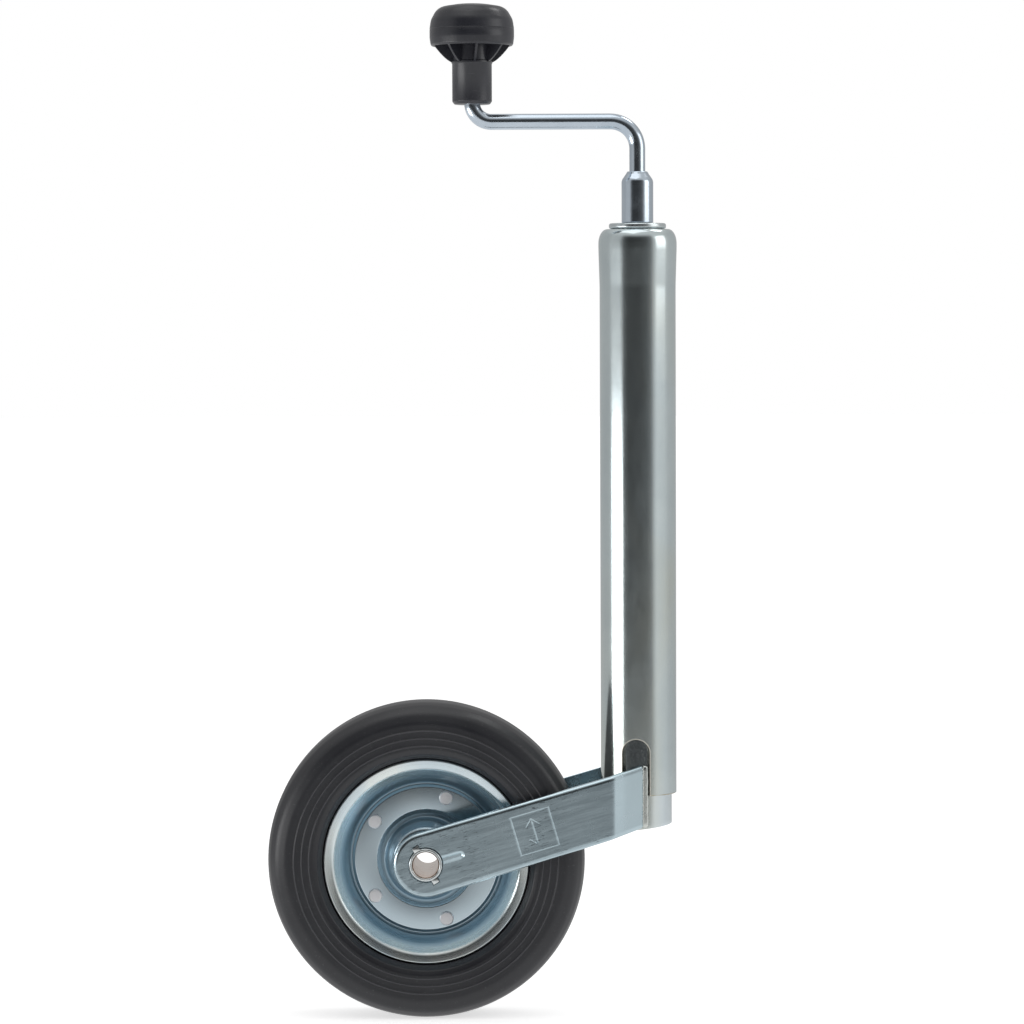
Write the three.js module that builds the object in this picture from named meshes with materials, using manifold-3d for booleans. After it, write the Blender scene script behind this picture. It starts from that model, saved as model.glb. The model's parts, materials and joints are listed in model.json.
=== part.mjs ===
// Trailer tongue jack with a jockey wheel: a screw in two telescoping tubes, a crank on top,
// and a solid rubber wheel in a fork welded to the inner tube.
// Millimetres, +Z up. Heights are worked out above the ground the wheel stands on, and the
// whole jack is then lowered so that the origin is the middle of the outer tube, on its axis.
// The wheel trails towards -X. "Near" pieces are on the -Y side, "far" pieces on the +Y side.
import * as THREE from 'three';
import { mergeVertices } from 'three/addons/utils/BufferGeometryUtils.js';
import Module from 'manifold-3d';

const wasm = await Module();
wasm.setup();

// ---- Driving dimensions ----
const GAP = 0.3; // left between pieces that touch on the real jack
const ROUND_TUBE = 36; // facets round the long tubes
const ROUND = 24; // facets round a full-size turned piece
const ROUND_SMALL = 16; // facets round a small turned piece
const ROUND_TINY = 8; // facets round a pin or a hole

const TYRE_RADIUS = 100;
const TYRE_HALF_WIDTH = 25;
const TYRE_FACETS = 32;
const WHEEL_X = -135; // how far the axle trails behind the tube
const AXLE_HEIGHT = TYRE_RADIUS;

const TUBE_RADIUS = 24;
const TUBE_WALL = 2.2;
const TUBE_BOTTOM = 141.5;
const TUBE_TOP = 498.5;
const SHOULDER_RADIUS = 24.7; // the rolled bulge at the top of the outer tube
const CLAMP_HEIGHT = (TUBE_BOTTOM + TUBE_TOP) / 2;

const SLOT_LEFT = -11.1;
const SLOT_RIGHT = 6.2;
const SLOT_TOP = 177.4;

const INNER_RADIUS = 21;
const INNER_WALL = 2.2;
const INNER_TOP = 452;
const INNER_BOTTOM = 119.9; // on the axis; the cut leans
const INNER_CUT_ANGLE = THREE.MathUtils.degToRad(6);

const SPINDLE_RADIUS = 8;
const SPINDLE_BOTTOM = 214;
const SPINDLE_TOP = 519.6;
const NUT_LENGTH = 24;
const GUIDE_LENGTH = 7;

const BALL_RADIUS = 3;
const BALL_COUNT = 8;
const BALL_CIRCLE = 13.3;
const BALL_HEIGHT = 490;
const RACE_INNER = 9.2;
const RACE_OUTER = 17.5;
const RACE_THICKNESS = 2.4;
const COLLAR_RADIUS = 16;
const COLLAR_LENGTH = 9;
const PIN_RADIUS = 2;

const WASHER_RADIUS = 18;
const WASHER_THICKNESS = 3.4;
const SLEEVE_RADIUS = 10;
const SLEEVE_TOP = 534.8;
const ROD_RADIUS = 5;
const CRANK_THROW = 104;
const CRANK_RUN_HEIGHT = 566.7;
const CRANK_BEND_LOW = 17; // bend radius above the sleeve
const CRANK_BEND_HIGH = 12; // bend radius below the knob
const ROD_TOP = 631.8;
const KNOB_BOTTOM = 577.3;
const KNOB_TOP = 640.3;
const KNOB_STEM_RADIUS = 12.5;
const KNOB_RIB_COUNT = 8;
const KNOB_FACETS = 20;

const PLATE = 3.3; // fork plate thickness
const FORK_OUTER = 33.8; // outer face of each arm, from the middle plane
const TIP_OUTER = 25; // outer face of each arm where it meets the inner tube
const BEND_START = -17.7;
const BEND_MIDDLE = -10.6; // the second, softer bend, and how far out the plate is there
const MIDDLE_OUTER = 29.4;
const TIP_END = 0.9;
const ARM_END_RADIUS = 20.6;
const ARM_TOP_ANGLE = THREE.MathUtils.degToRad(16.2);
const ARM_BOTTOM_ANGLE = THREE.MathUtils.degToRad(17.4);

const AXLE_OUTER = 10.4;
const AXLE_BORE = 8;
const AXLE_HALF = 34.6;
const AXLE_HOLE = 11.2; // hole in each arm
const KEY_WIDTH = 4.4;
const KEY_REACH = 13.4;
const KEY_ANGLES = [121, 301].map(THREE.MathUtils.degToRad);

const SHEET = 1.5; // rim sheet thickness
const RIVET_COUNT = 5;
const RIVET_CIRCLE = 40.5;
const RIVET_HEAD = 4.5;
const RIVET_SHANK = 2.3;
const HUB_OUTER = 15.2;
const HUB_INNER = 13.2;
const HUB_HALF = 26;

// ---- Solid helpers ----
// Welds shared corners, drops collapsed triangles and turns the faces outwards.
function closedBody(geometry) {
  const bare = geometry.clone();
  bare.deleteAttribute('normal');
  bare.deleteAttribute('uv');
  const welded = mergeVertices(bare, 1e-3);
  const position = welded.attributes.position;
  const corner = [new THREE.Vector3(), new THREE.Vector3(), new THREE.Vector3()];
  const kept = [];
  let volume = 0;
  for (let i = 0; i < welded.index.count; i += 3) {
    const ids = [0, 1, 2].map((k) => welded.index.getX(i + k));
    if (new Set(ids).size < 3) continue;
    kept.push(...ids);
    ids.forEach((id, k) => corner[k].fromBufferAttribute(position, id));
    volume += corner[0].dot(corner[1].clone().cross(corner[2]));
  }
  if (volume < 0) {
    kept.reverse();
  }
  const body = new THREE.BufferGeometry();
  body.setAttribute('position', position);
  body.setIndex(kept);
  return body;
}

function toSolid(geometry) {
  const body = closedBody(geometry);
  return new wasm.Manifold(new wasm.Mesh({
    numProp: 3,
    vertProperties: new Float32Array(body.attributes.position.array),
    triVerts: new Uint32Array(body.index.array),
  }));
}

function fromSolid(solid) {
  const mesh = solid.getMesh();
  const geometry = new THREE.BufferGeometry();
  geometry.setAttribute('position', new THREE.BufferAttribute(mesh.vertProperties, 3));
  geometry.setIndex(new THREE.BufferAttribute(mesh.triVerts, 1));
  return geometry;
}

function cut(body, tools) {
  return fromSolid(tools.reduce((left, tool) => left.subtract(toSolid(tool)), toSolid(body)));
}

function join(bodies) {
  return fromSolid(bodies.map(toSolid).reduce((left, right) => left.add(right)));
}

function common(a, b) {
  return fromSolid(toSolid(a).intersect(toSolid(b)));
}

// ---- Shape helpers ----
// A turned piece about the Z axis, from [radius, height] points round its section.
function turned(points, facets = ROUND) {
  const outline = points.map(([radius, height]) => new THREE.Vector2(radius, height));
  const onAxis = points[0][0] === 0 && points.at(-1)[0] === 0;
  if (!onAxis) {
    outline.push(outline[0].clone());
  }
  return closedBody(new THREE.LatheGeometry(outline, facets).rotateX(Math.PI / 2));
}

// A plain ring about Z.
function ring(inner, outer, low, high, facets = ROUND) {
  return turned([[inner, low], [outer, low], [outer, high], [inner, high]], facets);
}

// A solid bar about Z.
function bar(radius, low, high, facets = ROUND_SMALL) {
  return turned([[0, low], [radius, low], [radius, high], [0, high]], facets);
}

// Turns a piece built about Z so that its axis runs along Y and its +Z side faces -Y (near),
// then carries it to the axle.
function onAxle(geometry) {
  return geometry.rotateX(Math.PI / 2).translate(WHEEL_X, 0, AXLE_HEIGHT);
}

function mirroredAcross(geometry) {
  return closedBody(geometry.clone().scale(1, -1, 1));
}

// Extrudes a side view (X right, shape's Y up) along Y, between two places on the Y axis.
function sideExtrude(shape, lowY, highY, curveSegments = 10) {
  const geometry = new THREE.ExtrudeGeometry(shape, {
    depth: highY - lowY,
    bevelEnabled: false,
    curveSegments,
  });
  return geometry.rotateX(Math.PI / 2).translate(0, highY, 0);
}

// Extrudes a plan view (X, Y) along Z.
function planExtrude(points, lowZ, highZ) {
  const shape = new THREE.Shape(points.map(([x, y]) => new THREE.Vector2(x, y)));
  const geometry = new THREE.ExtrudeGeometry(shape, { depth: highZ - lowZ, bevelEnabled: false });
  return geometry.translate(0, 0, lowZ);
}

// A line of sheet points offset to one side by a distance.
function offsetLine(points, distance) {
  return points.map(([r, h], i) => {
    const before = points[Math.max(i - 1, 0)];
    const after = points[Math.min(i + 1, points.length - 1)];
    const run = new THREE.Vector2(after[0] - before[0], after[1] - before[1]).normalize();
    return [r + run.y * distance, h - run.x * distance];
  });
}

// ---- Materials ----
function surface(color, roughness, metalness) {
  return () => new THREE.MeshStandardMaterial({ color, roughness, metalness });
}

const zincTube = surface(0xb4bcc0, 0.26, 0.95);
const zincPlate = surface(0x8f9a9f, 0.42, 0.9);
const zincRim = surface(0xa5b4bd, 0.3, 0.95);
const brightSteel = surface(0xc9cfd4, 0.15, 1);
const rivetSteel = surface(0xc4c2be, 0.45, 0.8);
const bearingSteel = surface(0xb8bcc0, 0.12, 1);
const greasedSteel = surface(0x74736c, 0.4, 0.85);
const rubber = surface(0x37383b, 0.62, 0);
const blackPlastic = surface(0x2a2b2e, 0.45, 0);
const nylon = surface(0xd8d4c6, 0.55, 0);
const brassCage = surface(0xb08d57, 0.35, 0.9);

// ---- Outer tube and its top ----
function outerTube() {
  const wall = TUBE_RADIUS - TUBE_WALL;
  const top = TUBE_TOP;
  const blank = turned([
    [wall, TUBE_BOTTOM], [TUBE_RADIUS, TUBE_BOTTOM],
    [TUBE_RADIUS, top - 24], [SHOULDER_RADIUS, top - 17], [SHOULDER_RADIUS, top - 12],
    [24.1, top - 8], [22.6, top - 4.2], [20.8, top - 1.6], [18.6, top],
    [RACE_INNER, top], [RACE_INNER, top - TUBE_WALL], [18, top - TUBE_WALL],
    [20.2, top - 4.6], [wall - 0.3, top - 8], [wall, top - 12],
  ], ROUND_TUBE);
  const radius = (SLOT_RIGHT - SLOT_LEFT) / 2;
  const middle = (SLOT_RIGHT + SLOT_LEFT) / 2;
  const arch = new THREE.Shape();
  arch.moveTo(SLOT_LEFT, TUBE_BOTTOM - 5);
  arch.lineTo(SLOT_RIGHT, TUBE_BOTTOM - 5);
  arch.lineTo(SLOT_RIGHT, SLOT_TOP - radius);
  arch.absarc(middle, SLOT_TOP - radius, radius, 0, Math.PI, false);
  arch.closePath();
  return cut(blank, [sideExtrude(arch, -TUBE_RADIUS - 2, TUBE_RADIUS + 2)]);
}

function topWasher() {
  const low = TUBE_TOP + GAP;
  const high = low + WASHER_THICKNESS;
  const edge = 1;
  return turned([
    [SPINDLE_RADIUS + 0.6, low], [WASHER_RADIUS - edge, low], [WASHER_RADIUS, low + edge],
    [WASHER_RADIUS, high - edge], [WASHER_RADIUS - edge, high], [SPINDLE_RADIUS + 0.6, high],
  ], ROUND);
}

// ---- Thrust bearing, collar and screw ----
function upperRace() {
  const high = TUBE_TOP - TUBE_WALL - GAP;
  return ring(RACE_INNER, RACE_OUTER - 0.3, high - RACE_THICKNESS, high);
}

const LOWER_RACE_TOP = BALL_HEIGHT - BALL_RADIUS - GAP;
const COLLAR_TOP = LOWER_RACE_TOP - RACE_THICKNESS - GAP;
const COLLAR_PIN_HEIGHT = COLLAR_TOP - COLLAR_LENGTH / 2;
const STOP_PIN_HEIGHT = SPINDLE_BOTTOM + 5;
const STOP_WASHER_LOW = STOP_PIN_HEIGHT + PIN_RADIUS + GAP;

function lowerRace() {
  return ring(RACE_INNER, RACE_OUTER, LOWER_RACE_TOP - RACE_THICKNESS, LOWER_RACE_TOP);
}

function ballPlace(index) {
  const angle = (index / BALL_COUNT) * 2 * Math.PI;
  return [BALL_CIRCLE * Math.cos(angle), BALL_CIRCLE * Math.sin(angle)];
}

function ballCage() {
  const blank = ring(9.8, 16.8, BALL_HEIGHT - 1, BALL_HEIGHT + 1, ROUND_SMALL);
  const pockets = [];
  for (let i = 0; i < BALL_COUNT; i += 1) {
    const [x, y] = ballPlace(i);
    const pocket = bar(BALL_RADIUS + 0.45, BALL_HEIGHT - 2, BALL_HEIGHT + 2, ROUND_TINY);
    pockets.push(pocket.translate(x, y, 0));
  }
  return cut(blank, pockets);
}

function crossPin(radius, halfLength, height) {
  return bar(radius, -halfLength, halfLength, ROUND_TINY)
    .rotateY(Math.PI / 2)
    .translate(0, 0, height);
}

function thrustCollar() {
  const low = COLLAR_TOP - COLLAR_LENGTH;
  const blank = ring(SPINDLE_RADIUS + GAP, COLLAR_RADIUS, low, COLLAR_TOP, ROUND_SMALL);
  return cut(blank, [crossPin(PIN_RADIUS + GAP, COLLAR_RADIUS + 1, COLLAR_PIN_HEIGHT)]);
}

function spindle() {
  const chamfer = 1.5;
  const blank = turned([
    [0, SPINDLE_BOTTOM], [SPINDLE_RADIUS - chamfer, SPINDLE_BOTTOM],
    [SPINDLE_RADIUS, SPINDLE_BOTTOM + chamfer], [SPINDLE_RADIUS, SPINDLE_TOP], [0, SPINDLE_TOP],
  ], ROUND_SMALL);
  return cut(blank, [
    crossPin(PIN_RADIUS + GAP, SPINDLE_RADIUS + 1, COLLAR_PIN_HEIGHT),
    crossPin(PIN_RADIUS + GAP, SPINDLE_RADIUS + 1, STOP_PIN_HEIGHT),
  ]);
}

function stopWasher() {
  return ring(SPINDLE_RADIUS + GAP, 14.5, STOP_WASHER_LOW, STOP_WASHER_LOW + 3, ROUND_SMALL);
}

// ---- Crank and knob ----
function crankSleeve() {
  const low = TUBE_TOP + GAP + WASHER_THICKNESS + GAP;
  const rodBore = ROD_RADIUS + GAP;
  return turned([
    [SPINDLE_RADIUS + GAP, low], [SLEEVE_RADIUS - 0.6, low], [SLEEVE_RADIUS, low + 0.6],
    [SLEEVE_RADIUS, SLEEVE_TOP - 6.5], [SLEEVE_RADIUS - 0.8, SLEEVE_TOP - 4.4],
    [rodBore + 1.2, SLEEVE_TOP], [rodBore, SLEEVE_TOP],
    [rodBore, SPINDLE_TOP + GAP], [SPINDLE_RADIUS + GAP, SPINDLE_TOP + GAP],
  ], ROUND_SMALL);
}

// A quarter bend from one straight run into the next.
function quarterBend(from, corner, to) {
  const handle = 0.5523; // cubic handle length that follows a circle, as a share of its radius
  return new THREE.CubicBezierCurve3(
    from,
    from.clone().lerp(corner, handle),
    to.clone().lerp(corner, handle),
    to,
  );
}

function crankRod() {
  const spot = (x, z) => new THREE.Vector3(x, 0, z);
  const run = CRANK_RUN_HEIGHT;
  const start = spot(0, SPINDLE_TOP + 2 * GAP);
  const lowIn = spot(0, run - CRANK_BEND_LOW);
  const lowOut = spot(-CRANK_BEND_LOW, run);
  const highIn = spot(-CRANK_THROW + CRANK_BEND_HIGH, run);
  const highOut = spot(-CRANK_THROW, run + CRANK_BEND_HIGH);
  const path = new THREE.CurvePath();
  path.add(new THREE.LineCurve3(start, lowIn));
  path.add(quarterBend(lowIn, spot(0, run), lowOut));
  path.add(new THREE.LineCurve3(lowOut, highIn));
  path.add(quarterBend(highIn, spot(-CRANK_THROW, run), highOut));
  path.add(new THREE.LineCurve3(highOut, spot(-CRANK_THROW, ROD_TOP)));
  const section = new THREE.Shape().absarc(0, 0, ROD_RADIUS, 0, 2 * Math.PI);
  const rod = new THREE.ExtrudeGeometry(section, {
    steps: 34,
    curveSegments: 5,
    bevelEnabled: false,
    extrudePath: path,
  });
  const groove = ring(ROD_RADIUS - 1, ROD_RADIUS + 2, SNAP_LOW - GAP, SNAP_HIGH + GAP, ROUND_SMALL);
  return cut(rod, [groove.translate(-CRANK_THROW, 0, 0)]);
}

const SNAP_LOW = 621.8; // the ring that keeps the knob on the rod
const SNAP_HIGH = 625.6;
const SNAP_INNER = 4.4;
const SNAP_OUTER = 6.4;

function snapRing() {
  const gapShape = new THREE.Shape();
  gapShape.moveTo(0, -1);
  gapShape.lineTo(SNAP_OUTER + 1, -1);
  gapShape.lineTo(SNAP_OUTER + 1, 1);
  gapShape.lineTo(0, 1);
  gapShape.closePath();
  const opening = new THREE.ExtrudeGeometry(gapShape, { depth: 10, bevelEnabled: false });
  const whole = ring(SNAP_INNER, SNAP_OUTER, SNAP_LOW, SNAP_HIGH, ROUND_SMALL);
  return cut(whole, [opening.translate(0, 0, SNAP_LOW - 5)]).translate(-CRANK_THROW, 0, 0);
}

function knob() {
  const bore = ROD_RADIUS + GAP;
  const boreTop = ROD_TOP + 1.5;
  const underside = 637.6;
  const stem = KNOB_STEM_RADIUS;
  const shell = turned([
    [0, KNOB_TOP], [11, KNOB_TOP - 0.3], [18.5, KNOB_TOP - 1.7], [23, KNOB_TOP - 4.6],
    [25.4, KNOB_TOP - 9], [26.5, KNOB_TOP - 15], [26.6, KNOB_TOP - 21], [26, KNOB_TOP - 25],
    [25.2, KNOB_TOP - 26.6],
    [23.6, KNOB_TOP - 26.6], [24, KNOB_TOP - 20], [23.6, KNOB_TOP - 13], [21.6, KNOB_TOP - 7.6],
    [17.6, underside], [stem, underside],
    [stem, KNOB_BOTTOM + 2.5], [stem - 1.3, KNOB_BOTTOM],
    [bore, KNOB_BOTTOM], [bore, SNAP_LOW - 1], [SNAP_OUTER + GAP, SNAP_LOW - 1],
    [SNAP_OUTER + GAP, SNAP_HIGH + 1], [bore, SNAP_HIGH + 1], [bore, boreTop], [0, boreTop],
  ], KNOB_FACETS);
  const pieces = [shell];
  for (let i = 0; i < KNOB_RIB_COUNT; i += 1) {
    pieces.push(knobRib().rotateZ(((i + 0.5) / KNOB_RIB_COUNT) * 2 * Math.PI));
  }
  return join(pieces).translate(-CRANK_THROW, 0, 0);
}

// A thin web under the knob's head, from the stem out to the rim.
function knobRib() {
  const web = new THREE.Shape();
  web.moveTo(KNOB_STEM_RADIUS - 1, KNOB_TOP - 37);
  web.lineTo(KNOB_STEM_RADIUS + 1.5, KNOB_TOP - 35);
  web.quadraticCurveTo(KNOB_STEM_RADIUS + 4, KNOB_TOP - 30, 24.4, KNOB_TOP - 26.4);
  web.lineTo(24.6, KNOB_TOP - 15);
  web.lineTo(22, KNOB_TOP - 6.5);
  web.lineTo(KNOB_STEM_RADIUS - 1, KNOB_TOP - 4);
  web.closePath();
  return sideExtrude(web, -0.8, 0.8, 4);
}

// ---- Inner tube, nut and fork ----
function innerTube() {
  const low = INNER_BOTTOM - 8;
  const blank = ring(INNER_RADIUS - INNER_WALL, INNER_RADIUS, low, INNER_TOP, ROUND_TUBE);
  const rise = 40 * Math.tan(INNER_CUT_ANGLE);
  const below = new THREE.Shape();
  below.moveTo(-40, low - 10);
  below.lineTo(40, low - 10);
  below.lineTo(40, INNER_BOTTOM + rise);
  below.lineTo(-40, INNER_BOTTOM - rise);
  below.closePath();
  return cut(blank, [sideExtrude(below, -40, 40)]);
}

function spindleNut() {
  const high = INNER_TOP - 0.4;
  return ring(SPINDLE_RADIUS + GAP, INNER_RADIUS - INNER_WALL - GAP, high - NUT_LENGTH, high);
}

function guideRing() {
  const low = INNER_TOP + GAP;
  const outer = TUBE_RADIUS - TUBE_WALL - 0.35;
  return ring(SPINDLE_RADIUS + 1.5, outer, low, low + GUIDE_LENGTH);
}

// Straight edge of the arm's side view: its height above the ground at a place along X.
function armEdge(x, angle, side) {
  return AXLE_HEIGHT + (x - WHEEL_X) * Math.tan(angle) + (side * ARM_END_RADIUS) / Math.cos(angle);
}

function armSideView() {
  const view = new THREE.Shape();
  view.absarc(
    WHEEL_X, AXLE_HEIGHT, ARM_END_RADIUS,
    Math.PI / 2 + ARM_TOP_ANGLE, 1.5 * Math.PI + ARM_BOTTOM_ANGLE, false,
  );
  view.lineTo(TIP_END, armEdge(TIP_END, ARM_BOTTOM_ANGLE, -1));
  view.lineTo(TIP_END, armEdge(TIP_END, ARM_TOP_ANGLE, 1));
  view.closePath();
  return view;
}

function armPlan() {
  const outer = [
    [WHEEL_X - 30, -FORK_OUTER], [BEND_START, -FORK_OUTER],
    [BEND_MIDDLE, -MIDDLE_OUTER], [TIP_END + 1, -TIP_OUTER],
  ];
  return [...outer, ...offsetLine(outer, -PLATE).reverse()];
}

// A square key or notch beside the axle hole, as a block along Y.
function keyBlock(angle, halfWidth, reach, lowY, highY) {
  const block = new THREE.Shape();
  block.moveTo(AXLE_OUTER - 1, -halfWidth);
  block.lineTo(reach, -halfWidth);
  block.lineTo(reach, halfWidth);
  block.lineTo(AXLE_OUTER - 1, halfWidth);
  block.closePath();
  return sideExtrude(block, lowY, highY).rotateY(-angle).translate(WHEEL_X, 0, AXLE_HEIGHT);
}

// The short pressed groove that starts at the axle hole and runs along the arm.
function pressedGroove() {
  const groove = new THREE.Shape();
  groove.moveTo(AXLE_HOLE - 2, -2.6);
  groove.lineTo(22.4, -2.6);
  groove.absarc(22.4, 0, 2.6, -Math.PI / 2, Math.PI / 2, false);
  groove.lineTo(AXLE_HOLE - 2, 2.6);
  groove.closePath();
  return sideExtrude(groove, -FORK_OUTER - 1, -FORK_OUTER + 1.2, 4)
    .rotateY(-ARM_TOP_ANGLE)
    .translate(WHEEL_X, 0, AXLE_HEIGHT);
}

function forkArmNear() {
  const plate = common(
    planExtrude(armPlan(), 60, 180),
    sideExtrude(armSideView(), -FORK_OUTER - 5, 0, 14),
  );
  const hole = onAxle(bar(AXLE_HOLE, 0, FORK_OUTER + 5));
  const notches = KEY_ANGLES.map((angle) => (
    keyBlock(angle, KEY_WIDTH / 2 + GAP, KEY_REACH + GAP, -FORK_OUTER - 2, 0)
  ));
  return cut(plate, [hole, ...notches, pressedGroove()]);
}

// The weld seam down the end of the arm, lying against the inner tube.
function weldBeadNear() {
  const low = armEdge(TIP_END, ARM_BOTTOM_ANGLE, -1) + 0.5;
  const high = armEdge(TIP_END, ARM_TOP_ANGLE, 1) + 0.3;
  const left = TIP_END + GAP;
  return planExtrude([
    [left, -21.4], [left, -TIP_OUTER], [left + 1.8, -TIP_OUTER + 0.1],
    [left + 3.3, -24.2], [left + 4, -22.6], [left + 3.9, -21],
  ], low, high);
}

// ---- Axle, spacers and hub ----
function axleTube() {
  const tube = onAxle(ring(AXLE_BORE, AXLE_OUTER, -AXLE_HALF, AXLE_HALF));
  const reach = FORK_OUTER + 0.6;
  const keys = KEY_ANGLES.flatMap((angle) => [
    keyBlock(angle, KEY_WIDTH / 2, KEY_REACH, -reach, -reach + PLATE),
    keyBlock(angle, KEY_WIDTH / 2, KEY_REACH, reach - PLATE, reach),
  ]);
  return join([tube, ...keys]);
}

function sideWasherNear() {
  const high = FORK_OUTER - PLATE - GAP;
  return onAxle(ring(AXLE_OUTER + GAP, 16, high - 1.6, high, ROUND_SMALL));
}

function hubTube() {
  return onAxle(ring(HUB_INNER, HUB_OUTER, -HUB_HALF, HUB_HALF));
}

// Flanged plastic bush pressed into the end of the hub tube.
function hubBushNear() {
  const bore = AXLE_OUTER + 0.4;
  const sleeve = HUB_INNER - GAP;
  const flange = HUB_HALF + GAP;
  return onAxle(turned([
    [bore, HUB_HALF - 14], [sleeve, HUB_HALF - 14], [sleeve, flange], [HUB_OUTER, flange],
    [HUB_OUTER, flange + 1.6], [bore, flange + 1.6],
  ], ROUND_SMALL));
}

// ---- Rim halves, rivets and tyre ----
// Outer face of one pressed rim half, [radius, distance from the middle plane], hub to lip.
const RIM_HUB = [[15.6, 13.4], [22.5, 12.6], [26.4, 3.6], [27.8, 1.8]];
const RIM_RING = [[29.4, 1.8], [31.4, 2.9], [47.2, 2.9], [49, 1.8]];
const RIM_FLARE = [
  [51.4, 2], [54.2, 9], [57, 16], [61, 19.6], [64.4, 20.1],
];
const RING_FACE = 2.9; // outer face of the riveted ring

function rivetPlace(index) {
  const angle = (index / RIVET_COUNT) * 2 * Math.PI;
  return [RIVET_CIRCLE * Math.cos(angle), RIVET_CIRCLE * Math.sin(angle)];
}

function rimNear() {
  const face = [...RIM_HUB, ...RIM_RING, ...RIM_FLARE];
  const back = offsetLine(face, SHEET).reverse();
  const blank = turned([...face, ...back]);
  const holes = [];
  for (let i = 0; i < RIVET_COUNT; i += 1) {
    const [x, y] = rivetPlace(i);
    const hole = bar(RIVET_SHANK + GAP, 0, 10, ROUND_TINY);
    holes.push(hole.translate(x, y, 0));
  }
  return onAxle(cut(blank, holes));
}

function rivet(index) {
  const [x, y] = rivetPlace(index);
  const low = RING_FACE + GAP;
  const crown = low + 1.3;
  const body = turned([
    [0, -crown], [RIVET_HEAD - 0.7, -crown], [RIVET_HEAD, -crown + 0.6], [RIVET_HEAD, -low],
    [RIVET_SHANK, -low], [RIVET_SHANK, low],
    [RIVET_HEAD, low], [RIVET_HEAD, crown - 0.6], [RIVET_HEAD - 0.7, crown], [0, crown],
  ], ROUND_TINY);
  return onAxle(body.translate(x, y, 0));
}

function tyre() {
  const seat = offsetLine(RIM_FLARE, SHEET + 0.35).filter(([, away]) => away > 4);
  const pocket = [[64.9, seat.at(-1)[1]], [64.9, 20.6]];
  const sidewall = [
    [67.4, 23.2], [72, 24.6], [86, TYRE_HALF_WIDTH], [93, 23.4], [97.6, 19],
    [TYRE_RADIUS, 11],
  ];
  const cornerOut = 1 / Math.cos(Math.PI / TYRE_FACETS); // so that a facet's flat has the full radius
  const outside = [...sidewall, [TYRE_RADIUS, 0]].map(([radius, away]) => [radius * cornerOut, away]);
  const half = [[seat[0][0], 0], ...seat, ...pocket, ...outside];
  const other = half.slice(1, -1).reverse().map(([radius, away]) => [radius, -away]);
  const facetDown = Math.PI / TYRE_FACETS; // turns a facet's flat, not a corner, to the ground
  return onAxle(turned([...half, ...other], TYRE_FACETS).rotateZ(facetDown));
}

// ---- Assembly ----
const jack = new THREE.Group();
const heights = new THREE.Group();
heights.position.z = -CLAMP_HEIGHT;
jack.add(heights);

function place(name, geometry, material) {
  const mesh = new THREE.Mesh(geometry, material());
  mesh.name = name;
  heights.add(mesh);
}

place('outer_tube', outerTube(), zincTube);
place('top_washer', topWasher(), zincPlate);
place('upper_race', upperRace(), bearingSteel);

place('ball_cage', ballCage(), brassCage);
for (let i = 0; i < BALL_COUNT; i += 1) {
  const [x, y] = ballPlace(i);
  const ball = closedBody(new THREE.SphereGeometry(BALL_RADIUS, 8, 5).rotateX(Math.PI / 2));
  place(`bearing_ball_${i + 1}`, ball.translate(x, y, BALL_HEIGHT), bearingSteel);
}

place('lower_race', lowerRace(), bearingSteel);
place('thrust_collar', thrustCollar(), greasedSteel);
place('collar_pin', crossPin(PIN_RADIUS, COLLAR_RADIUS - 0.5, COLLAR_PIN_HEIGHT), brightSteel);
place('spindle', spindle(), greasedSteel);
place('stop_washer', stopWasher(), greasedSteel);
place('stop_pin', crossPin(PIN_RADIUS, 12, STOP_PIN_HEIGHT), brightSteel);
place('crank_sleeve', crankSleeve(), brightSteel);
place('crank_rod', crankRod(), brightSteel);
place('knob_snap_ring', snapRing(), brightSteel);
place('knob', knob(), blackPlastic);

place('guide_ring', guideRing(), nylon);
place('inner_tube', innerTube(), zincTube);
place('spindle_nut', spindleNut(), greasedSteel);

const armNear = forkArmNear();
place('fork_arm_near', armNear, zincPlate);
place('fork_arm_far', mirroredAcross(armNear), zincPlate);
place('weld_bead_near', weldBeadNear(), zincPlate);
place('weld_bead_far', mirroredAcross(weldBeadNear()), zincPlate);
place('axle_tube', axleTube(), zincRim);
place('side_washer_near', sideWasherNear(), zincRim);
place('side_washer_far', mirroredAcross(sideWasherNear()), zincRim);

place('hub_tube', hubTube(), zincRim);
place('hub_bush_near', hubBushNear(), nylon);
place('hub_bush_far', mirroredAcross(hubBushNear()), nylon);
const rim = rimNear();
place('rim_near', rim, zincRim);
place('rim_far', mirroredAcross(rim), zincRim);
for (let i = 0; i < RIVET_COUNT; i += 1) {
  place(`rim_rivet_${i + 1}`, rivet(i), rivetSteel);
}
place('tyre', tyre(), rubber);

export default jack;
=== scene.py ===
"""Trailer tongue jack with a jockey wheel: the fine visual model, its materials, and a pale studio.

A piece's sizes come from the CAD frame or are given in millimetres. The scene is in metres.
"near" is the -Y side, which the camera sees; "far" is the +Y side.
"""

import json
import math

import bmesh
import bpy
from mathutils import Matrix, Vector

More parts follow.
